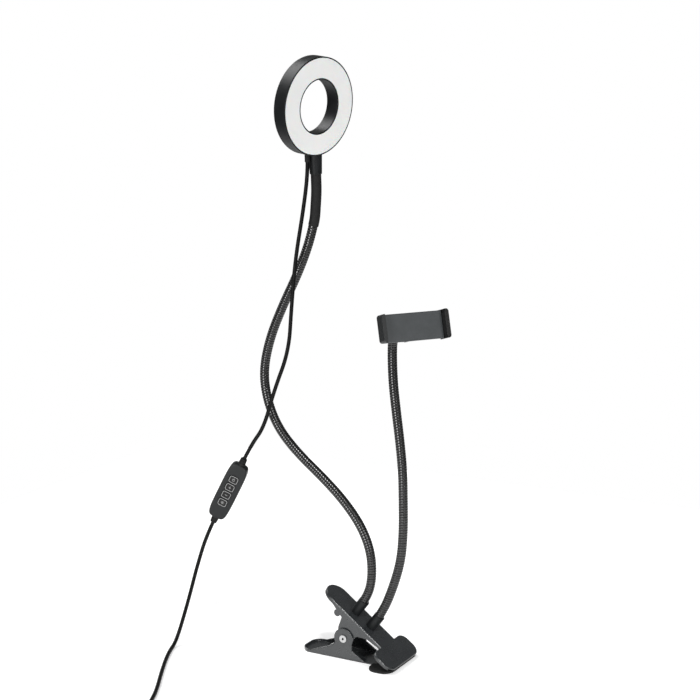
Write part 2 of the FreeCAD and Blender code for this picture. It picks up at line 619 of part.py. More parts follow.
for name, solids in save_later:
    for solid in solids:
        solid.Placement = holder_frame.multiply(solid.Placement)
    save(name, solids)

# ---------------------------------------------------------------- in-line controller
ctrl_z = unit(CTRL_UP)
ctrl_y = unit(CTRL_FACE) * -1
ctrl_x = ctrl_y.cross(ctrl_z)
ctrl_rotation = FreeCAD.Rotation(ctrl_x, ctrl_y, ctrl_z, "ZYX")
ctrl_frame = FreeCAD.Placement(V(CTRL_AT), ctrl_rotation)
half_t = CTRL_T / 2
half_l = CTRL_L / 2


def case_block(shrink):
    """Bar with bowed sides and round ends, shrunk evenly for the hollow."""
    half_w = CTRL_W / 2 - shrink
    half_long = half_l - shrink
    points = []
    for k in range(48):
        a = 2 * math.pi * (k + 0.5) / 48
        x = half_w * math.copysign(abs(math.cos(a)) ** (2 / CTRL_SQUARE), math.cos(a))
        z = half_long * math.copysign(abs(math.sin(a)) ** (2 / CTRL_SQUARE), math.sin(a))
        points.append(V(x, -half_t + shrink, z))
    outline = Part.BSplineCurve()
    outline.interpolate(Points=points, PeriodicFlag=True)
    face = Part.Face(Part.Wire(outline.toShape()))
    return face.extrude(V(0, CTRL_T - 2 * shrink, 0))


case = case_block(0.0)
flat_edges = [e for e in case.Edges
              if e.BoundBox.YMax < -half_t + 0.01 or e.BoundBox.YMin > half_t - 0.01]
case = case.makeFillet(CTRL_ROUND, flat_edges)
case = case.cut(case_block(CTRL_WALL))
lead_hole = rod((0, 0, -half_l - 2), (0, 0, half_l + 2), RELIEF_HOLE)
case = case.cut(lead_hole)
split = box(-20, 20, -20, 0.3, -50, 50)
case_front = case.common(split)
case_back = case.cut(split)
buttons = []
for k in range(4):
    z = BUTTON_FIRST - BUTTON_PITCH * k
    window = rounded_box(BUTTON_W + 0.5, BUTTON_L + 0.5, 4.0, 2.1)
    window.rotate(V(0, 0, 0), V(1, 0, 0), 90)
    window.translate(V(0, -half_t, z))
    case_front = case_front.cut(window)
    cap = rounded_box(BUTTON_W, BUTTON_L, 1.8, 1.9)
    cap.rotate(V(0, 0, 0), V(1, 0, 0), 90)
    cap.translate(V(0, -half_t + 0.5, z))
    buttons.append(cap)
controller_board = box(-6.5, 6.5, 0.5, 1.7, -24, 24)
reliefs = []
for side in (-1, 1):
    z0 = side * (half_l + RELIEF_GAP)
    z1 = side * (half_l + RELIEF_LEN)
    relief = Part.makeCone(RELIEF_R, RELIEF_TIP_R, RELIEF_LEN, V(0, 0, z0), V(0, 0, side))
    for k in range(2):
        z = z0 + side * (2.2 + 2.4 * k)
        groove = Part.makeCylinder(5, 0.9, V(0, 0, z), V(0, 0, side))
        groove = groove.cut(Part.makeCylinder(2.7 - 0.2 * k, 0.9, V(0, 0, z), V(0, 0, side)))
        relief = relief.cut(groove)
    relief = relief.fuse(rod((0, 0, z0 - side * 2.2), (0, 0, z0), 1.95))
    relief = relief.fuse(rod((0, 0, z0 - side * 2.7), (0, 0, z0 - side * 1.8), 2.6))
    relief = relief.cut(rod((0, 0, z0 - side * 3), (0, 0, z1 + side), LEAD_R))
    reliefs.append(relief.removeSplitter())
controller_nodes = [("controller_front", [case_front]), ("controller_back", [case_back]),
                    ("controller_board", [controller_board]), ("strain_reliefs", reliefs)]
for k, cap in enumerate(buttons):
    controller_nodes.append(("button_%d" % (k + 1), [cap]))
for name, solids in controller_nodes:
    for solid in solids:
        solid.Placement = ctrl_frame.multiply(solid.Placement)
    save(name, solids)

# ---------------------------------------------------------------- lead
grommet_mouth = ring_frame.multVec(V(GROMMET_X, GROMMET_Y, grommet_z - 1.0))
grommet_below = ring_frame.multVec(V(GROMMET_X, GROMMET_Y, grommet_z - 15.0))
upper = [grommet_mouth, grommet_below] + [V(p) for p in UPPER_LEAD]
upper += [V(CTRL_AT) + ctrl_z * (half_l + 22.0), V(CTRL_AT) + ctrl_z * (half_l - 1.5)]
save("lead_ring_drop", [tube("lead_ring_drop", upper, LEAD_R, None, 4)])
save("lead_arm_drop", [tube("lead_arm_drop", upper, LEAD_R, 4, None)])
lower = [V(CTRL_AT) - ctrl_z * (half_l - 1.5), V(CTRL_AT) - ctrl_z * (half_l + 22.0)]
lower += [V(p) for p in LOWER_LEAD]
coil_start = V(COIL_AT[0] - COIL_R, COIL_AT[1], LEAD_Z)
lower += [coil_start]
save("lead_hang", [tube("lead_hang", lower, LEAD_R, None, 2)])
save("lead_floor", [tube("lead_floor", lower, LEAD_R, 2, None)])

# put-away coil: turns stacked on the floor, the end led off to the plug
coil = [coil_start]
for k in range(1, COIL_TURNS * COIL_POINTS + 1):
    a = math.pi + 2 * math.pi * k / COIL_POINTS
    rise = COIL_STEP * k / COIL_POINTS
    coil.append(V(COIL_AT[0] + COIL_R * math.cos(a), COIL_AT[1] + COIL_R * math.sin(a), LEAD_Z + rise))
top = coil[-1]
coil += [top + V(-1.5, -12.0, -0.8), top + V(-2.0, -26.0, -6.5),
         top + V(-1.0, -42.0, PLUG_Z - top.z), top + V(-0.5, -58.0, PLUG_Z - top.z)]
save("lead_coil", [tube("lead_coil", coil, LEAD_R)])

# tie: a flat band round all the turns on the far side
tie_x = COIL_AT[0] + COIL_R
tie_low = 1.9 + COIL_STEP / 2 - LEAD_R
tie_high = 1.9 + COIL_STEP * (COIL_TURNS - 0.5) + LEAD_R
tie = box(tie_x - 3.5, tie_x + 2.7, COIL_AT[1] - 2.5, COIL_AT[1] + 2.5, tie_low - 1.3, tie_high + 1.3)
tie = tie.cut(box(tie_x - 2.8, tie_x + 2.1, COIL_AT[1] - 4, COIL_AT[1] + 4,
                  tie_low - 0.7, tie_high + 0.7))
save("coil_tie", [tie])

# USB plug lying on the floor beside the coil
plug_end = coil[-1]
plug_dir = V(coil[-1].x - coil[-2].x, coil[-1].y - coil[-2].y, 0).normalize()
plug_turn = FreeCAD.Rotation(V(1, 0, 0), plug_dir)
plug_frame = FreeCAD.Placement(plug_end, plug_turn)
neck = Part.makeCone(2.4, 3.4, 7.0, V(-3.0, 0, 0), V(1, 0, 0))
grip = rounded_box(16.0, 7.8, 22.0, 2.4)
grip.rotate(V(0, 0, 0), V(0, 1, 0), 90)
grip.rotate(V(0, 0, 0), V(1, 0, 0), 90)
grip.translate(V(4.0 + 11.0, 0, 0))
body = neck.fuse(grip)
body = body.cut(rod((-4, 0, 0), (0.2, 0, 0), LEAD_R))
body = body.cut(box(14.0, 30.0, -6.0, 6.0, -2.25, 2.25)).removeSplitter()
shell = box(14.0, 38.5, -6.0, 6.0, -2.25, 2.25)
shell = shell.cut(box(15.0, 40.0, -5.7, 5.7, -1.95, 1.95))
for y in (-3.0, 3.0):
    shell = shell.cut(box(29.0, 31.0, y - 1.0, y + 1.0, -3, 3))
tongue = box(15.0, 38.0, -5.6, 5.6, -1.9, 0.0)
for name, solid in (("usb_plug_body", body), ("usb_plug_shell", shell), ("usb_tongue", tongue)):
    solid.Placement = plug_frame.multiply(solid.Placement)
    save(name, [solid])
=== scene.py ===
import math

import bpy
import numpy as np
from mathutils import Matrix, Vector


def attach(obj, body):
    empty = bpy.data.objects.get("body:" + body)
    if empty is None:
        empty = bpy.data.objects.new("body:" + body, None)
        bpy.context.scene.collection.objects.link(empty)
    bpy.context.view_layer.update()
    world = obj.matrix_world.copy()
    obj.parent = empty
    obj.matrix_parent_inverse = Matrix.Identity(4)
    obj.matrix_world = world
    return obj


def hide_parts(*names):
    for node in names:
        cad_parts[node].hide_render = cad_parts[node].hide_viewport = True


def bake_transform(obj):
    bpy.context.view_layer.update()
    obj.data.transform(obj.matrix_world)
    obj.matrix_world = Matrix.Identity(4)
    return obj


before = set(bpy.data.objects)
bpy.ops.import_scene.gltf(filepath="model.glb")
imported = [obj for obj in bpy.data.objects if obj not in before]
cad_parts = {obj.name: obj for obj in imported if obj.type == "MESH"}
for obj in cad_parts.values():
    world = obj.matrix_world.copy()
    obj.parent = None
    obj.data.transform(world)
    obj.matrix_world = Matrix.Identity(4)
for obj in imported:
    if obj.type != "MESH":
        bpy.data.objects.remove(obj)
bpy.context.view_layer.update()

# A ring lamp and a phone holder on two goosenecks, which stand on one spring clamp.
# Everything is in metres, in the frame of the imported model.

# ---------------------------------------------------------------- places and sizes
CAMERA_AIM = Vector((-0.0181, 0.0316, 0.2770))
CAMERA_TURN = math.radians(28.5)
CAMERA_PITCH = math.radians(11.0)
CAMERA_DISTANCE = 1.5
CAMERA_LENS = 85.0

RING_AT = Vector((-0.0312, -0.0104, 0.4981))
RING_TURNS = (("Z", -13.6), ("Y", 6.1), ("X", 9.0))
RING_RADIUS = 0.0428
COLLAR_LENGTH = 0.0178
HOSE_BELOW_COLLAR = 0.016
HOSE_INTO_COLLAR = 0.011
GROMMET_X = -0.0013
GROMMET_Y = -0.0086
HOLDER_AT = Vector((0.0729, -0.0240, 0.3152))
HOLDER_TURNS = (("Z", 54.5), ("X", -16.0))
HOLDER_STUD = 0.021
TRAY_HALF = 0.0283

CONTROLLER_AT = Vector((-0.118, -0.0195, 0.1443))
CONTROLLER_UP = Vector((0.457, 0.050, 0.888))
CONTROLLER_FACE = Vector((0.327, -0.938, -0.115))
CONTROLLER_HALF = 0.029
CONTROLLER_THICK = 0.009
BUTTON_COUNT = 4
BUTTON_WIDTH = 0.0084
BUTTON_LENGTH = 0.0070
BUTTON_FIRST = 0.0138
BUTTON_PITCH = 0.0085
BUTTON_RISE = 0.0004
PRINT_LIFT = 0.00006
PRINT_INSET = 0.0002
PRINT_CORNER = 0.0017
PRINT_LINE = 0.00035
CORNER_POINTS = 7
BAR_MIDDLE = 0.02
ICON = 0.0013
ICON_LINE = 0.0003
ICON_SMALL = ICON * 0.6
ICON_RAY = ICON * 0.22
ICON_RAYS = 8

HOSE_CREST = 0.0042
RIB_DEPTH = 0.00105
RIB_PITCH = 0.0024
RIB_SQUARE = 5.0
RIB_SAMPLES = 12
HOSE_SIDES = 24
HOSE_RESOLUTION = 24
LEAD_RADIUS = 0.00175
LEAD_SIDES = 14
LEAD_ON_FLOOR = 0.0019
LEAD_OUT_OF_GROMMET = 0.001
LEAD_BELOW_GROMMET = 0.015
LEAD_INTO_CONTROLLER = 0.0015
LEAD_PAST_CONTROLLER = 0.022
UPPER_LEAD_RESOLUTION = 16
UPPER_LEAD_CUT = (-0.055, -0.0125, 0.2995)
LOWER_LEAD_RESOLUTION = 10
LOWER_LEAD_CUT = (-0.151, -0.0325, 0.0530)

PIVOT_Z = 0.0195
SPRING_RADIUS = 0.00520
SPRING_WIRE = 0.00090
SPRING_GAP = 0.00025
SPRING_TURNS = 5.25
SPRING_SAMPLES = 24
SPRING_SIDES = 12
SPRING_START_Z = PIVOT_Z + 0.0004
SPRING_HIGH_TIP = (-0.0090, 0.0490)
SPRING_LOW_BEND = (-0.0120, 0.0085)
SPRING_LOW_TIP = (-0.0240, 0.0026)

COIL_AT = Vector((-0.064, -0.240, 0.0))
COIL_RADIUS = 0.0205
COIL_TURNS = 4
COIL_STEP = 0.0038
COIL_POINTS = 14
PLUG_HEIGHT = 0.004

# Angles in degrees above which an edge stays sharp.
SHARP_ANGLE = 50.0
HOSE_SHARP_ANGLE = 80.0
PRINT_SHARP_ANGLE = 30.0

# ---------------------------------------------------------------- looks in numbers
COLOUR_FROM = 0.3
COLOUR_TO = 0.7
COLOUR_DETAIL = 3.0
ROUGH_DETAIL = 4.0
ROUGH_PATCH_SHARE = 0.35
RELIEF_DETAIL = 2.0
EDGE_SAMPLES = 6
# the pointiness range over which the painted shade in the hose's grooves gives way to the crests'
# reflection
GROOVE_POINTINESS = 0.44
CREST_POINTINESS = 0.52
CREST_SHINE = 0.60
JAW_BLACK = (0.007, 0.008, 0.0085, 1.0)
WHITE = (1.0, 1.0, 1.0, 1.0)
FLOOR_HALF = 0.6
FLOOR_PAPER = (0.95, 0.95, 0.95, 1.0)
FLOOR_ROUGHNESS = 0.9
FLOOR_GLOW = 0.22
ROOM_LIGHT = 0.12


def framed(place, turns):
    """A local frame: its place, and its turns in degrees from the outermost in."""
    matrix = Matrix.Translation(place)
    for axis, degrees in turns:
        matrix = matrix @ Matrix.Rotation(math.radians(degrees), 4, axis)
    return matrix


ring_frame = framed(RING_AT, RING_TURNS)
holder_frame = framed(HOLDER_AT, HOLDER_TURNS)
controller_z = CONTROLLER_UP.normalized()
controller_y = -CONTROLLER_FACE
controller_y = (controller_y - controller_z * controller_y.dot(controller_z)).normalized()
controller_x = controller_y.cross(controller_z)
controller_frame = Matrix.Translation(CONTROLLER_AT) @ Matrix(
    (controller_x, controller_y, controller_z)).transposed().to_4x4()
neck_down = -ring_frame.col[2].to_3d()
collar_end = ring_frame @ Vector((0, 0, -RING_RADIUS - COLLAR_LENGTH))
grommet_z = -math.sqrt(RING_RADIUS ** 2 - GROMMET_Y ** 2)

# ---------------------------------------------------------------- routes
LIGHT_ROUTE = [Vector(p) for p in (
    (0.0072, 0, 0.0443), (0.0174, 0, 0.0580), (0.0220, 0, 0.0770), (0.0205, 0, 0.1010),
    (0.0100, 0, 0.1245), (-0.0090, 0, 0.1465), (-0.0310, 0, 0.1650), (-0.0550, 0, 0.1830),
    (-0.0760, 0, 0.2045), (-0.0875, 0, 0.2300), (-0.0910, 0, 0.2570), (-0.0835, 0, 0.2880),
    (-0.0700, 0, 0.3180), (-0.0550, 0.0015, 0.3480), (-0.0450, 0.0035, 0.3740),
    (-0.0390, 0.0050, 0.3980),
)] + [
    collar_end + neck_down * HOSE_BELOW_COLLAR,
    collar_end - neck_down * HOSE_INTO_COLLAR,
]
PHONE_ROUTE = [Vector(p) for p in (
    (0.0229, 0, 0.0327), (0.0331, 0, 0.0464), (0.0435, 0, 0.0720), (0.0510, 0, 0.0980),
    (0.0530, 0, 0.1250), (0.0527, 0, 0.1520), (0.0520, 0, 0.1790), (0.0490, 0, 0.2070),
    (0.0450, 0, 0.2350), (0.0418, 0, 0.2610), (0.0408, 0, 0.2905), (0.0439, -0.0027, 0.3007),
    (0.0497, -0.0075, 0.3070),
)] + [HOLDER_AT + holder_frame.col[1].to_3d() * HOLDER_STUD]
UPPER_LEAD = [
    ring_frame @ Vector((GROMMET_X, GROMMET_Y, grommet_z - LEAD_OUT_OF_GROMMET)),
    ring_frame @ Vector((GROMMET_X, GROMMET_Y, grommet_z - LEAD_BELOW_GROMMET)),
] + [Vector(p) for p in (
    (-0.0415, -0.0105, 0.4090), (-0.0495, -0.0120, 0.3630), (-0.0535, -0.0125, 0.3190),
    (-0.0565, -0.0125, 0.2800), (-0.0720, -0.0130, 0.2420), (-0.0825, -0.0140, 0.2070),
)] + [
    CONTROLLER_AT + controller_z * (CONTROLLER_HALF + LEAD_PAST_CONTROLLER),
    CONTROLLER_AT + controller_z * (CONTROLLER_HALF - LEAD_INTO_CONTROLLER),
]
LOWER_LEAD = [
    CONTROLLER_AT - controller_z * (CONTROLLER_HALF - LEAD_INTO_CONTROLLER),
    CONTROLLER_AT - controller_z * (CONTROLLER_HALF + LEAD_PAST_CONTROLLER),
] + [Vector(p) for p in (
    (-0.1490, -0.0275, 0.0690), (-0.1530, -0.0375, 0.0370), (-0.1555, -0.0550, LEAD_ON_FLOOR),
    (-0.1460, -0.0820, LEAD_ON_FLOOR), (-0.1255, -0.1220, LEAD_ON_FLOOR),
    (-0.1010, -0.1660, LEAD_ON_FLOOR), (-0.0865, -0.2050, LEAD_ON_FLOOR),
)]
for step in range(COIL_TURNS * COIL_POINTS + 1):
    angle = math.pi + 2 * math.pi * step / COIL_POINTS
    rise = LEAD_ON_FLOOR + COIL_STEP * step / COIL_POINTS
    LOWER_LEAD.append(COIL_AT + Vector(
        (COIL_RADIUS * math.cos(angle), COIL_RADIUS * math.sin(angle), rise)))
coil_top = LOWER_LEAD[-1]
LOWER_LEAD += [
    coil_top + Vector((-0.0015, -0.012, -0.0008)),
    coil_top + Vector((-0.0020, -0.026, -0.0065)),
    coil_top + Vector((-0.0010, -0.042, PLUG_HEIGHT - coil_top.z)),
    coil_top + Vector((-0.0005, -0.058, PLUG_HEIGHT - coil_top.z)),
]


# ---------------------------------------------------------------- camera
def aim_camera():
    """The photograph's view: from the front right, looking a little down."""
    flat = math.cos(CAMERA_PITCH)
    back = Vector((math.sin(CAMERA_TURN) * flat, -math.cos(CAMERA_TURN) * flat,
                   math.sin(CAMERA_PITCH)))
    lens = bpy.data.cameras.new("camera")
    lens.lens = CAMERA_LENS
    camera = bpy.data.objects.new("camera", lens)
    camera.location = CAMERA_AIM + back * CAMERA_DISTANCE
    camera.rotation_mode = "QUATERNION"
    camera.rotation_quaternion = (-back).to_track_quat("-Z", "Y")
    bpy.context.scene.collection.objects.link(camera)
    bpy.context.scene.camera = camera


aim_camera()


# ---------------------------------------------------------------- materials
def finish(name, dark, light, patch, rough, metallic=0.0, grain=0.0004, relief=0.0, edge=0.0,
           **constants):
    """A finish whose colour, roughness and fine relief each follow their own noise.

    dark and light are the ends of its colour, and rough those of its roughness. patch and
    grain are the sizes of the colour patches and of the relief, relief is the relief's height,
    and edge is the radius that light sees on a sharp edge, all in metres. constants are set
    on the shader as they are.
    """
    material = bpy.data.materials.new(name)
    material.use_nodes = True
    nodes = material.node_tree.nodes
    links = material.node_tree.links
    shader = nodes["Principled BSDF"]
    shader.inputs["Metallic"].default_value = metallic
    for socket, value in constants.items():
        shader.inputs[socket.replace("_", " ")].default_value = value
    where = nodes.new("ShaderNodeTexCoord")

    def noise(size, detail):
        node = nodes.new("ShaderNodeTexNoise")
        node.inputs["Scale"].default_value = 1.0 / size
        node.inputs["Detail"].default_value = detail
        links.new(where.outputs["Object"], node.inputs["Vector"])
        return node.outputs["Fac"]

    ramp = nodes.new("ShaderNodeValToRGB")
    ramp.color_ramp.elements[0].position = COLOUR_FROM
    ramp.color_ramp.elements[0].color = (*dark, 1.0)
    ramp.color_ramp.elements[1].position = COLOUR_TO
    ramp.color_ramp.elements[1].color = (*light, 1.0)
    links.new(noise(patch, COLOUR_DETAIL), ramp.inputs["Fac"])
    links.new(ramp.outputs["Color"], shader.inputs["Base Color"])

    spread = nodes.new("ShaderNodeMapRange")
    spread.inputs["To Min"].default_value = rough[0]
    spread.inputs["To Max"].default_value = rough[1]
    links.new(noise(patch * ROUGH_PATCH_SHARE, ROUGH_DETAIL), spread.inputs["Value"])
    links.new(spread.outputs["Result"], shader.inputs["Roughness"])

    bump = nodes.new("ShaderNodeBump")
    bump.inputs["Strength"].default_value = 1.0
    bump.inputs["Distance"].default_value = relief
    links.new(noise(grain, RELIEF_DETAIL), bump.inputs["Height"])
    if edge:
        bevel = nodes.new("ShaderNodeBevel")
        bevel.samples = EDGE_SAMPLES
        bevel.inputs["Radius"].default_value = edge
        links.new(bevel.outputs["Normal"], bump.inputs["Normal"])
    links.new(bump.outputs["Normal"], shader.inputs["Normal"])
    return material


def grey(value):
    """A colour with that value in each channel."""
    return (value, value, value)


finishes = {
    "clamp_black": finish("clamp_paint", (0.020, 0.0225, 0.0245), (0.025, 0.0275, 0.0295),
                          0.012, (0.24, 0.32), grain=0.0007, relief=0.00001, edge=0.0016,
                          Coat_Weight=0.8, Coat_Roughness=0.16),
    "bare_steel": finish("steel", grey(0.46), grey(0.62), 0.003, (0.22, 0.38), metallic=1.0,
                         grain=0.0002, relief=0.000004, edge=0.0002),
    "rubber_black": finish("rubber", grey(0.006), grey(0.010), 0.004, (0.60, 0.78),
                           grain=0.0004, relief=0.00002, edge=0.0003, Specular_IOR_Level=0.25),
    "hose_black": finish("hose_coat", grey(0.007), grey(0.012), 0.006, (0.18, 0.26),
                         grain=0.0003, relief=0.000006),
    "shell_black": finish("shell_plastic", (0.005, 0.006, 0.0065), (0.008, 0.009, 0.0098),
                          0.010, (0.36, 0.46), grain=0.00035, relief=0.000012, edge=0.0010,
                          Specular_IOR_Level=0.28),
    "diffuser_white": finish("diffuser", (0.83, 0.83, 0.82), (0.87, 0.87, 0.86), 0.03,
                             (0.42, 0.52), grain=0.0005, relief=0.000003,
                             Subsurface_Weight=0.15, Subsurface_Scale=0.002),
    "board_white": finish("lamp_board", grey(0.70), grey(0.80), 0.006, (0.35, 0.5)),
    "led_amber": finish("warm_chips", (0.75, 0.42, 0.08), (0.85, 0.50, 0.12), 0.002, (0.2, 0.35)),
    "led_yellow": finish("cool_chips", (0.80, 0.72, 0.20), (0.90, 0.80, 0.30), 0.002, (0.2, 0.35)),
    "holder_grey": finish("holder_face", (0.032, 0.036, 0.038), (0.040, 0.044, 0.047), 0.010,
                          (0.45, 0.58), grain=0.0004, relief=0.000015, edge=0.0003),
    "holder_black": finish("holder_plastic", grey(0.006), grey(0.009), 0.010, (0.30, 0.40),
                           grain=0.0004, relief=0.00001, edge=0.0004, Specular_IOR_Level=0.30),
    "board_green": finish("circuit_board", (0.01, 0.10, 0.03), (0.02, 0.16, 0.05), 0.003,
                          (0.3, 0.45)),
    "button_black": finish("button_plastic", grey(0.004), grey(0.006), 0.004, (0.42, 0.52),
                           grain=0.0003, relief=0.000008, edge=0.0002, Specular_IOR_Level=0.25),
    "lead_black": finish("lead_jacket", grey(0.002), grey(0.004), 0.008, (0.42, 0.52),
                         grain=0.0005, relief=0.000008, Specular_IOR_Level=0.12),
    "tongue_white": finish("plug_tongue", grey(0.65), grey(0.75), 0.004, (0.4, 0.5)),
}
print_grey = finish("printed_grey", grey(0.30), grey(0.38), 0.002, (0.5, 0.6))


def paint_shade_in_grooves(material):
    """Painted shade: turns off the reflection in the grooves between the hose's ribs, so only the
    crests shine.
    """
    nodes = material.node_tree.nodes
    links = material.node_tree.links
    shape = nodes.new("ShaderNodeNewGeometry")
    crest = nodes.new("ShaderNodeMapRange")
    crest.inputs["From Min"].default_value = GROOVE_POINTINESS
    crest.inputs["From Max"].default_value = CREST_POINTINESS
    crest.inputs["To Max"].default_value = CREST_SHINE
    links.new(shape.outputs["Pointiness"], crest.inputs["Value"])
    # painted shade: low pointiness in the ribs' grooves takes their reflection away
    links.new(crest.outputs["Result"], nodes["Principled BSDF"].inputs["Specular IOR Level"])


def blacken_fixed_jaw(material, tray):
    """Makes the end of the grey tray black, by how far along the holder a point is.

    The tray and its fixed jaw are one moulding with one finish.
    """
    nodes = material.node_tree.nodes
    links = material.node_tree.links
    to_holder = holder_frame.inverted() @ tray.matrix_world
    along_tray = nodes.new("ShaderNodeVectorMath")
    along_tray.operation = "DOT_PRODUCT"
    along_tray.inputs[1].default_value = to_holder[0][:3]
    links.new(nodes["Texture Coordinate"].outputs["Object"], along_tray.inputs[0])
    on_jaw = nodes.new("ShaderNodeMath")
    on_jaw.operation = "LESS_THAN"
    on_jaw.inputs[1].default_value = -TRAY_HALF - to_holder[0][3]
    links.new(along_tray.outputs["Value"], on_jaw.inputs[0])
    colour = nodes.new("ShaderNodeMix")
    colour.data_type = "RGBA"
    colour.inputs["B"].default_value = JAW_BLACK
    links.new(on_jaw.outputs["Value"], colour.inputs["Factor"])
    links.new(nodes["Color Ramp"].outputs["Color"], colour.inputs["A"])
    links.new(colour.outputs["Result"], nodes["Principled BSDF"].inputs["Base Color"])


# painted shade in the hose's grooves
paint_shade_in_grooves(finishes["hose_black"])
blacken_fixed_jaw(finishes["holder_grey"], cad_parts["holder_tray"])

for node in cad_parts.values():
    for material_slot in node.material_slots:
        slot_name = material_slot.material.name.split(".")[0]
        if slot_name in finishes:
            material_slot.material = finishes[slot_name]


def dress(piece, slot_name, material=None):
    """Gives a new piece the finish of a slot, or another material."""
    piece.data.materials.append(material or finishes[slot_name])
    return piece


# ---------------------------------------------------------------- tubes along a route
def spline_line(name, points, resolution):
    """Points read from the smooth NURBS spline that a route's points control."""
    curve = bpy.data.curves.new(name, "CURVE")
    curve.dimensions = "3D"
    curve.resolution_u = resolution
    spline = curve.splines.new("NURBS")
    spline.points.add(len(points) - 1)
    for control, place in zip(spline.points, points):
        control.co = (*place, 1.0)
    spline.order_u = 3
    spline.use_endpoint_u = True
    carrier = bpy.data.objects.new(name, curve)
    mesh = bpy.data.meshes.new_from_object(carrier)
    line = np.array([v.co for v in mesh.vertices])
    bpy.data.meshes.remove(mesh)
    bpy.data.objects.remove(carrier)
    bpy.data.curves.remove(curve)
    return line


def even(line, step):
    """The same line in points at equal steps."""
    gaps = np.linalg.norm(np.diff(line, axis=0), axis=1)
    along = np.concatenate([[0.0], np.cumsum(gaps)])
    count = max(2, round(along[-1] / step) + 1)
    places = np.linspace(0.0, along[-1], count)
    return np.stack([np.interp(places, along, line[:, axis]) for axis in range(3)], axis=1)


def carried(line):
    """Two side directions at each point, carried along the line without twist."""
    tangents = np.gradient(line, axis=0)
    tangents /= np.linalg.norm(tangents, axis=1)[:, None]
    side = Vector(tangents[0]).orthogonal().normalized()
    sides = []
    for tangent in tangents:
        tangent = Vector(tangent)
        side = (side - tangent * side.dot(tangent)).normalized()
        sides.append((side.copy(), tangent.cross(side)))
    return sides


def rings_along(line, sides, radius_at):
    """A ring of points round each point of a line; radius_at takes the step and the side."""
    rings = []
    for step, (centre, (across, up)) in enumerate(zip(line, carried(line))):
        centre = Vector(centre)
        ring = []
        for k in range(sides):
            angle = 2 * math.pi * k / sides
            outward = across * math.cos(angle) + up * math.sin(angle)
            ring.append(centre + outward * radius_at(step, k))
        rings.append(ring)
    return rings


def new_piece(name, verts, faces, sharp_angle=SHARP_ANGLE):
    """A smooth mesh object in the row frame; edges sharper than the angle stay sharp."""
    mesh = bpy.data.meshes.new(name)
    mesh.from_pydata(verts, [], faces)
    mesh.shade_smooth()
    mesh.set_sharp_from_angle(angle=math.radians(sharp_angle))
    piece = bpy.data.objects.new(name, mesh)
    bpy.context.scene.collection.objects.link(piece)
    return piece


def skin(name, rings, sharp_angle=SHARP_ANGLE):
    """A closed mesh through rings of points, with a cap on each end."""
    sides = len(rings[0])
    verts = [point for ring in rings for point in ring]
    faces = [tuple(reversed(range(sides)))]
    for i in range(len(rings) - 1):
        low = i * sides
        high = low + sides
        for k in range(sides):
            after = (k + 1) % sides
            faces.append((low + k, low + after, high + after, high + k))
    faces.append(tuple(range(len(verts) - sides, len(verts))))
    return new_piece(name, verts, faces, sharp_angle)


def nearest(line, place):
    """The number of the line's point that is closest to a place."""
    return int(np.argmin(np.linalg.norm(line - np.array(place), axis=1)))


# ---------------------------------------------------------------- goosenecks
def rib_radius(step, k):
    """Round ribs wound in a helix, with a sharp groove between turns."""
    turn = (step / RIB_SAMPLES - k / HOSE_SIDES) % 1.0
    swell = (1.0 - abs(2.0 * turn - 1.0) ** RIB_SQUARE) ** (1.0 / RIB_SQUARE)
    return HOSE_CREST - RIB_DEPTH * (1.0 - swell)


def gooseneck(route, parts):
    """One wound hose, cut into pieces.

    A part is its name, the two bodies, the joint's place, half the bend's length, where it ends
    (None at the hose's own end), and the CAD nodes that it stands for. The two bodies, the joint's
    place and half the bend's length are not used.
    """
    line = even(spline_line("hose_route", route, HOSE_RESOLUTION), RIB_PITCH / RIB_SAMPLES)
    rings = rings_along(line, HOSE_SIDES, rib_radius)
    first = 0
    for name, bodies, pivot, reach, end, nodes in parts:
        last = len(rings) - 1 if end is None else nearest(line, end)
        piece = dress(skin(name, rings[first:last + 1], HOSE_SHARP_ANGLE), "hose_black")
        pivot = Vector(pivot)
        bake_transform(piece)
        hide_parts(*nodes)
        first = last


gooseneck(LIGHT_ROUTE, [
    ("light_gooseneck_1", ("clamp_upper", "light_link_1"), (0.022, 0, 0.0770), 0.013,
     (0.0005, 0, 0.1355), ("light_hose_base", "light_flex_1", "light_hose_1")),
    ("light_gooseneck_2", ("light_link_1", "light_link_2"), (-0.031, 0, 0.1650), 0.018,
     (-0.0655, 0, 0.1938), ("light_flex_2",)),
    ("light_gooseneck_3", ("light_link_2", "light_link_3"), (-0.0875, 0, 0.2300), 0.018,
     (-0.0768, 0, 0.3030), ("light_hose_2", "light_flex_3")),
    ("light_gooseneck_4", ("light_link_3", "ring_head"), (-0.055, 0.0015, 0.3480), 0.016,
     None, ("light_hose_3", "light_flex_4", "light_hose_4")),
])
gooseneck(PHONE_ROUTE, [
    ("phone_gooseneck_1", ("clamp_upper", "phone_link_1"), (0.051, 0, 0.0980), 0.018,
     (0.0529, 0, 0.1385), ("phone_hose_base", "phone_flex_1", "phone_hose_1")),
    ("phone_gooseneck_2", ("phone_link_1", "phone_link_2"), (0.052, 0, 0.1790), 0.018,
     (0.047, 0, 0.2210), ("phone_flex_2", "phone_hose_2")),
    ("phone_gooseneck_3", ("phone_link_2", "phone_link_3"), (0.0418, 0, 0.2610), 0.016,
     None, ("phone_flex_3", "phone_hose_3")),
])


# ---------------------------------------------------------------- lead
def lead_piece(name, line, nodes):
    """A stretch of the lead, in place of the CAD nodes that it stands for."""
    rings = rings_along(line, LEAD_SIDES, lambda step, k: LEAD_RADIUS)
    piece = dress(skin(name, rings), "lead_black")
    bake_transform(piece)
    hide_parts(*nodes)


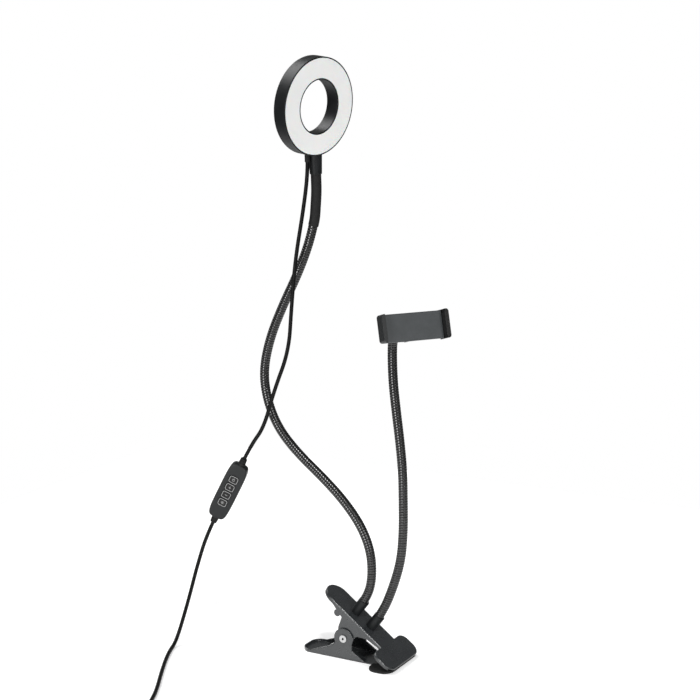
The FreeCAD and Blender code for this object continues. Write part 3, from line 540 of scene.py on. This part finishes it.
upper_line = spline_line("upper_route", UPPER_LEAD, UPPER_LEAD_RESOLUTION)
upper_cut = nearest(upper_line, UPPER_LEAD_CUT)
lower_line = spline_line("lower_route", LOWER_LEAD, LOWER_LEAD_RESOLUTION)
lower_cut = nearest(lower_line, LOWER_LEAD_CUT)
lead_piece("lead_upper", upper_line[:upper_cut + 1],
           ["lead_ring_drop"])
lead_piece("lead_middle", upper_line[upper_cut:],
           ["lead_arm_drop"])
lead_piece("lead_lower", lower_line[:lower_cut + 1],
           ["lead_hang"])
lead_piece("lead_tail", lower_line[lower_cut:],
           ["lead_floor", "lead_coil"])


# ---------------------------------------------------------------- clamp spring
def steel_wire(name, line, body):
    """A stretch of the clamp spring's wire, which goes along with one leg of the clamp."""
    rings = rings_along(np.array(line), SPRING_SIDES, lambda step, k: SPRING_WIRE)
    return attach(dress(skin(name, rings), "bare_steel"), body)


spring_half = SPRING_TURNS * (2 * SPRING_WIRE + SPRING_GAP) / 2
high_x, high_z = SPRING_HIGH_TIP
spring_line = [(high_x, -spring_half, high_z), (SPRING_RADIUS, -spring_half, SPRING_START_Z)]
for step in range(int(SPRING_TURNS * SPRING_SAMPLES) + 1):
    turn = step / SPRING_SAMPLES
    angle = 2 * math.pi * turn
    spring_line.append((SPRING_RADIUS * math.cos(angle),
                        spring_half * (2 * turn / SPRING_TURNS - 1),
                        PIVOT_Z - SPRING_RADIUS * math.sin(angle)))
spring_coil = steel_wire("clamp_spring_coil", spring_line, "clamp_upper")
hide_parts("torsion_spring")
low_arm_points = ((0.0, PIVOT_Z - SPRING_RADIUS), SPRING_LOW_BEND, SPRING_LOW_TIP)
steel_wire("clamp_spring_low_arm", [(x, spring_half, z) for x, z in low_arm_points], "clamp_lower")


# ---------------------------------------------------------------- controller prints
def outline_strip(centre_x, centre_z, half_width, half_length, corner, line_width):
    """Outer and inner edge of a printed rounded rectangle, on the controller's face."""
    strips = []
    for inset in (0.0, line_width):
        edge = []
        for quarter in range(4):
            sign_x = (1, -1, -1, 1)[quarter]
            sign_z = (1, 1, -1, -1)[quarter]
            for k in range(CORNER_POINTS):
                angle = math.radians(90 * quarter + 90 * k / (CORNER_POINTS - 1))
                x = sign_x * (half_width - corner) + (corner - inset) * math.cos(angle)
                z = sign_z * (half_length - corner) + (corner - inset) * math.sin(angle)
                edge.append((centre_x + x, centre_z + z))
        strips.append(edge)
    return strips


def printed(name, face_y, loops, body):
    """A thin raised print on the controller: each loop is an outer and an inner edge."""
    verts = []
    faces = []
    for outer, inner in loops:
        count = len(outer)
        base = len(verts)
        for y in (face_y - PRINT_LIFT, face_y + PRINT_LIFT):
            for x, z in outer + inner:
                verts.append(controller_frame @ Vector((x, y, z)))
        for k in range(count):
            after = (k + 1) % count
            outer_a, outer_b = base + k, base + after
            inner_a, inner_b = base + count + k, base + count + after
            deep = 2 * count
            faces.append((outer_a, outer_b, inner_b, inner_a))
            faces.append((outer_b, outer_a, outer_a + deep, outer_b + deep))
            faces.append((inner_a, inner_b, inner_b + deep, inner_a + deep))
            faces.append((outer_b + deep, outer_a + deep, inner_a + deep, inner_b + deep))
    piece = dress(new_piece(name, verts, faces, PRINT_SHARP_ANGLE), "button_black", print_grey)
    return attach(piece, body)


def bar_loop(x, z, half_width, half_length, turn=0.0):
    """A printed bar, as a loop whose inner edge shrinks nearly to its middle."""
    outer = []
    inner = []
    for sx, sz in ((1, 1), (-1, 1), (-1, -1), (1, -1)):
        for edge, share in ((outer, 1.0), (inner, BAR_MIDDLE)):
            dx = sx * half_width * share
            dz = sz * half_length * share
            edge.append((x + dx * math.cos(turn) - dz * math.sin(turn),
                         z + dx * math.sin(turn) + dz * math.cos(turn)))
    return outer, inner


def ring_loop(x, z, radius, width, count=24):
    """A printed circle."""
    angles = [2 * math.pi * k / count for k in range(count)]
    return tuple([(x + r * math.cos(a), z + r * math.sin(a)) for a in angles]
                 for r in (radius, radius - width))


def icon_loops(number, z):
    """A button's sign, from the top: on and off, plus, minus, and a lamp with rays."""
    if number == 0:
        return [ring_loop(0.0, z, ICON, ICON_LINE),
                bar_loop(0.0, z + ICON, ICON_LINE / 2, ICON_SMALL)]
    if number == 1:
        return [bar_loop(0.0, z, ICON, ICON_LINE / 2), bar_loop(0.0, z, ICON_LINE / 2, ICON)]
    if number == 2:
        return [bar_loop(0.0, z, ICON, ICON_LINE / 2)]
    loops = [ring_loop(0.0, z, ICON_SMALL, ICON_LINE)]
    for ray in range(ICON_RAYS):
        turn = 2 * math.pi / ICON_RAYS * ray
        loops.append(bar_loop(ICON * math.cos(turn), z + ICON * math.sin(turn),
                              ICON_RAY, ICON_LINE / 2, turn))
    return loops


button_face = -CONTROLLER_THICK / 2 - BUTTON_RISE
for number in range(BUTTON_COUNT):
    z = BUTTON_FIRST - BUTTON_PITCH * number
    outline = outline_strip(0.0, z, BUTTON_WIDTH / 2 - PRINT_INSET,
                            BUTTON_LENGTH / 2 - PRINT_INSET, PRINT_CORNER, PRINT_LINE)
    printed("button_print_%d" % (number + 1), button_face, [outline] + icon_loops(number, z),
            "key_%d" % (number + 1))


# ---------------------------------------------------------------- floor and light
def sun(name, direction, size, strength):
    """A broad even light from a direction. size is its width in degrees."""
    light = bpy.data.lights.new(name, "SUN")
    light.angle = math.radians(size)
    light.energy = strength
    lamp = bpy.data.objects.new(name, light)
    lamp.rotation_mode = "QUATERNION"
    lamp.rotation_quaternion = (-Vector(direction)).to_track_quat("-Z", "Y")
    bpy.context.scene.collection.objects.link(lamp)


def floor_and_world():
    """A white floor, and a room that the camera sees as white and the object as dim grey."""
    corners = ((-1, -1), (1, -1), (1, 1), (-1, 1))
    floor = new_piece("floor", [(FLOOR_HALF * x, FLOOR_HALF * y, 0) for x, y in corners],
                      [(0, 1, 2, 3)])
    paper = bpy.data.materials.new("floor_paper")
    paper.use_nodes = True
    shader = paper.node_tree.nodes["Principled BSDF"]
    shader.inputs["Base Color"].default_value = FLOOR_PAPER
    shader.inputs["Roughness"].default_value = FLOOR_ROUGHNESS
    shader.inputs["Emission Color"].default_value = WHITE
    shader.inputs["Emission Strength"].default_value = FLOOR_GLOW
    floor.data.materials.append(paper)
    world = bpy.data.worlds.new("studio")
    world.use_nodes = True
    nodes = world.node_tree.nodes
    background = nodes["Background"]
    background.inputs["Color"].default_value = WHITE
    seen = nodes.new("ShaderNodeLightPath")
    level = nodes.new("ShaderNodeMapRange")
    level.inputs["To Min"].default_value = ROOM_LIGHT
    level.inputs["To Max"].default_value = 1.0
    world.node_tree.links.new(seen.outputs["Is Camera Ray"], level.inputs["Value"])
    world.node_tree.links.new(level.outputs["Result"], background.inputs["Strength"])
    bpy.context.scene.world = world


floor_and_world()
sun("key", (-0.66, 0.10, 0.74), 40.0, 2.2)
sun("front", (-0.05, -0.99, -0.06), 26.0, 2.1)
sun("side", (0.85, -0.45, 0.30), 30.0, 1.2)
sun("top", (0.375, -0.446, 0.813), 9.0, 1.5)
bpy.context.scene.view_settings.view_transform = "Standard"
